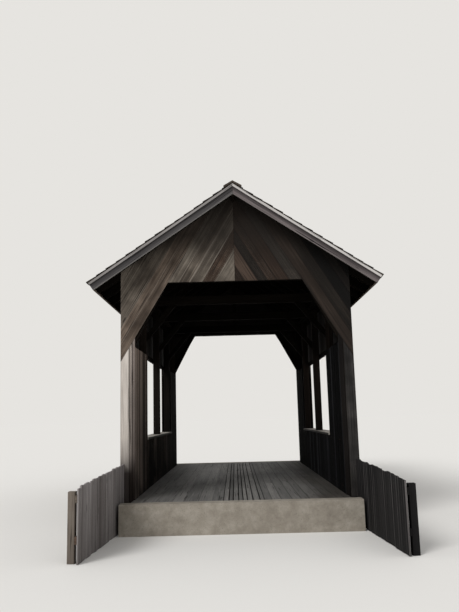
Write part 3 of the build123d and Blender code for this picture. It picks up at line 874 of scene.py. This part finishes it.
# Barge boards with a trim strip along the top
barge = {"depth": 0.16, "thickness": 0.028, "trimDepth": 0.045, "trimThickness": 0.015, "ease": 0.004}
bargeFront = barge["thickness"] + barge["trimThickness"]
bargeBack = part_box("barge_boards_right")[1].y - bargeFront
for side, sideName in sides:
    rng = random.Random(90 + side)
    pile, trims = newPile(), newPile()
    for end in (-1, 1):
        face = makeFace((0, end * bargeBack, 0), (1, 0, 0), (0, 0, 1), (0, end, 0))
        for strip, depth, base, top in ((pile, barge["depth"], 0.0, barge["thickness"]),
                                        (trims, barge["trimDepth"], barge["thickness"], bargeFront)):
            tip = Vector((deckHigh.x, deckHigh.z - deckHigh.x * tanS))
            foot = tip - Vector((sinS, cosS)) * depth
            outline = [Vector((0, deckHigh.z - depth / cosS)), foot, tip, Vector((0, deckHigh.z))]
            addBoard(strip, face, mirrored(outline, side), top, (cosS, -side * sinS), newSeed(rng),
                     barge["ease"], base)
    settle(pile, f"bargeBoards_{sideName}", bargePines[side], "roof_boards", f"barge_boards_{sideName}")
    settle(trims, f"bargeTrims_{sideName}", trimPines[side], "roof_boards")
settle(nails, "nailHeads", iron, "roof_boards")
print("roof covered")

# Wing walls: pickets on two rails, with posts behind
wing = {
    "start": 2.016, "flare": 0.17, "length": 2.6, "heightAtPortal": 0.625, "heightAtEnd": 0.5,
    "boardCuts": (0.1, 0.15, 0.006), "thickness": 0.025, "proud": 0.004, "ease": 0.003, "joint": 0.003,
    "raggedFoot": 0.01, "raggedHead": 0.025, "skew": 0.006, "post": 0.1, "postCount": 3, "postInset": 0.06,
    "postDrop": 0.07, "lowerRail": 0.25, "railDepth": 0.1, "railThickness": 0.05, "railInset": 0.12,
    "railStart": 0.006, "railEase": 0.004,
}
wingRun = math.hypot(wing["length"], wing["flare"])


def wingTop(distance):
    fall = wing["heightAtPortal"] - wing["heightAtEnd"]
    return road + wing["heightAtPortal"] - fall * distance / wingRun


def wingFace(side, end):
    way = Vector((side * wing["flare"], end * wing["length"], 0)).normalized()
    return makeFace((side * wing["start"], end * facingHigh.y, 0), way, (0, 0, 1),
                    (-side * wing["length"], end * wing["flare"], 0))


def wingPickets(end, side):
    rng = random.Random(200 + end * 2 + side)
    pile = newPile()
    face = wingFace(side, end)
    for near, far in boardEdges(wing["joint"], wingRun, *wing["boardCuts"], rng):
        tip = rng.uniform(0, wing["raggedHead"])
        low = rng.uniform(0, wing["raggedFoot"])
        nearTop = min(wingTop(near) - tip - rng.uniform(-wing["skew"], wing["skew"]), wingTop(near))
        outline = [Vector(c) for c in ((near, low), (far, low), (far, wingTop(far) - tip), (near, nearTop))]
        recess = rng.uniform(0, wing["proud"])
        addBoard(pile, face, outline, -recess, (0, 1), newSeed(rng), wing["ease"], -wing["thickness"])
    return pile


def wingFrames(end, side):
    rng = random.Random(300 + end * 2 + side)
    pile = newPile()
    spread = wingRun - 2 * wing["postInset"] - wing["post"]
    railEnd = wingRun - wing["postInset"]
    face = wingFace(side, end)
    half = face["n"] * wing["post"] / 2
    postDeep = -(wing["thickness"] + wing["railThickness"] + wing["post"] / 2)
    for i in range(wing["postCount"]):
        middle = wing["postInset"] + wing["post"] / 2 + i * spread / (wing["postCount"] - 1)
        foot = onFace(face, Vector((middle, 0)), postDeep)
        top = wingTop(middle + wing["post"] / 2) - wing["postDrop"]
        head = onFace(face, Vector((middle, top)), postDeep)
        addBeam(pile, foot, head, face["u"] * wing["post"] / 2, half, newSeed(rng))
    railDeep = -(wing["thickness"] + wing["railThickness"] / 2)
    lower = wing["lowerRail"] + wing["railDepth"] / 2
    upperDrop = wing["railInset"] + wing["railDepth"] / 2
    for startZ, endZ in ((lower, lower), (wingTop(0) - upperDrop, wingTop(railEnd) - upperDrop)):
        start = onFace(face, Vector((wing["railStart"], startZ)), railDeep)
        stop = onFace(face, Vector((railEnd, endZ)), railDeep)
        up = (stop - start).cross(face["n"]).normalized() * wing["railDepth"] / 2
        across = face["n"] * wing["railThickness"] / 2
        addBeam(pile, start, stop, across, up, newSeed(rng), wing["railEase"])
    return pile


wingParts = ((wingPickets, "wingPickets", "wing_boards", wingPines[-1]),
             (wingFrames, "wingTimbers", "wing_frames", sidingPine))
for end, endName in ends:
    for makePart, name, node, leftPine in wingParts:
        settle(makePart(end, 1), f"{name}_{endName}_right", wingPines[1], "wall_boards", f"{node}_{endName}")
        settle(makePart(end, -1), f"{name}_{endName}_left", leftPine, "wall_boards")
print("wing walls boarded")

# Members that run along one direction of the frame, or down the roof, keep their CAD shape.
# turn brings each one's length to the grain. The fascias are weathered like the siding and the ridge cap
# like the shakes, and the rail caps are paler: washed by the rain, with painted sunlight on their tops and
# painted shade on their faces towards the inside.
kneeAngle = 50
haunchAngle = math.degrees(math.atan2(haunchWay.y, -haunchWay.x))
cadFinish = {
    "abutment_front": concrete, "abutment_back": concrete,
    "rafters_right": sawnWood("rafterTimberRight", {**timberBase, "turn": (0, -portal["pitch"], 0)}),
    "rafters_left": sawnWood("rafterTimberLeft", {**timberBase, "turn": (0, portal["pitch"], 0)}),
    "fascias": sawnWood("fasciaPine", {**dryBase, "turn": (0, 0, 90), "stops": sidingStops}),
    "rail_caps": sawnWood("railCapPine", {
        **dryBase, "turn": (0, 0, 90), "shadedInnerFace": (0, capInner),
        "stops": tones("#625d57", "#86817a", "#a49f97", "#bcb7af")}),
    "ridge_cap": sawnWood("ridgeCapCedar", {**dryBase, "turn": (0, 0, 90), "stops": cedarStops}),
    "knee_braces": sawnWood("kneeBraceTimber", {**timberBase, "turn": (0, kneeAngle, 0)}),
    "portal_braces": sawnWood("portalBraceTimber", {**timberBase, "turn": (0, haunchAngle, 0)}),
}
for node, material in cadFinish.items():
    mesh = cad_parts[node].data
    mesh.materials.clear()
    mesh.materials.append(material)
print("CAD pieces finished")

# Stage and light: a pale matte floor under a white sky, and a soft sun from the left front
studio = {"floorRadius": 400, "rimPoints": 96, "drop": 0.001, "floor": "#e6e4e0", "sky": "#ffffff",
          "skyStrength": 0.66, "sunStrength": 1.75, "sunSpread": 25, "sunTurn": (52, 0, -38)}


def studioFloor():
    mesh = bpy.data.meshes.new("studioFloor")
    count = studio["rimPoints"]
    turns = [2 * math.pi * i / count for i in range(count)]
    rim = [(studio["floorRadius"] * math.cos(a), studio["floorRadius"] * math.sin(a), 0.0) for a in turns]
    mesh.from_pydata(rim, [], [list(range(count))])
    # matte paint without gloss, its grit drawn 25 mm coarse so that it shows
    material, tree, place = newMaterial("matteStudioPaint")
    grit = addNode(tree, "TexNoise", {"Vector": place, "Scale": 40.0, "Detail": 2.0})
    bump = addNode(tree, "Bump", {"Height": grit, "Strength": 0.05, "Distance": 0.001})
    shader = addNode(tree, "BsdfPrincipled", {
        "Base Color": fromHex(studio["floor"]), "Normal": bump, "Roughness": 1.0, "Specular IOR Level": 0.0})
    addNode(tree, "OutputMaterial", {"Surface": shader})
    mesh.materials.append(material)
    floor = newObject("studioFloor", mesh)
    floor.location.z = -studio["drop"]
    floor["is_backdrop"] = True


def softSun():
    light = bpy.data.lights.new("softSun", "SUN")
    light.energy = studio["sunStrength"]
    light.angle = math.radians(studio["sunSpread"])
    newObject("softSun", light).rotation_euler = [math.radians(a) for a in studio["sunTurn"]]


def studioSky():
    world = bpy.data.worlds.new("studioSky")
    bpy.context.scene.world = world
    world.use_nodes = True
    tree = world.node_tree
    tree.nodes.clear()
    rays = addNode(tree, "LightPath").node.outputs
    seen = addNode(tree, "Math", (rays["Is Camera Ray"], rays["Is Glossy Ray"]), operation="MAXIMUM")
    seen = addNode(tree, "Math", (seen, rays["Is Transmission Ray"]), operation="MAXIMUM")
    glow = addNode(tree, "Background", {"Color": fromHex(studio["sky"]), "Strength": studio["skyStrength"]})
    shown = addNode(tree, "Background", {"Color": fromHex(studio["floor"]), "Strength": 1.0})
    addNode(tree, "OutputWorld", {"Surface": addNode(tree, "MixShader", (seen, glow, shown))})


# The camera stands on the road, 11.55 m before the portal at eye height, looking slightly up.
eye = {
    "lens": 37.94, "longSide": 36.0, "farthest": 500, "offset": -0.0625, "distance": 11.55,
    "height": 1.386, "yaw": 0.239, "pitch": 9.708, "roll": -1.472,
}


def photoCamera():
    data = bpy.data.cameras.new("roadCamera")
    data.lens = eye["lens"]
    data.sensor_width = eye["longSide"]
    data.clip_end = eye["farthest"]
    camera = newObject("roadCamera", data)
    turns = ((eye["yaw"], "Z"), (90 + eye["pitch"], "X"), (eye["roll"], "Z"))
    yaw, pitch, roll = [Matrix.Rotation(math.radians(angle), 4, axis) for angle, axis in turns]
    place = Vector((eye["offset"], facingLow.y - eye["distance"], road + eye["height"]))
    camera.matrix_world = Matrix.Translation(place) @ (yaw @ pitch @ roll)
    bpy.context.scene.camera = camera


studioFloor()
studioSky()
softSun()
photoCamera()
bpy.context.scene.view_settings.view_transform = "Standard"
print("stage, lights and camera set")

low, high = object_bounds()
{"cad": [list(cadLow), list(cadHigh)], "visual": [list(low), list(high)]}
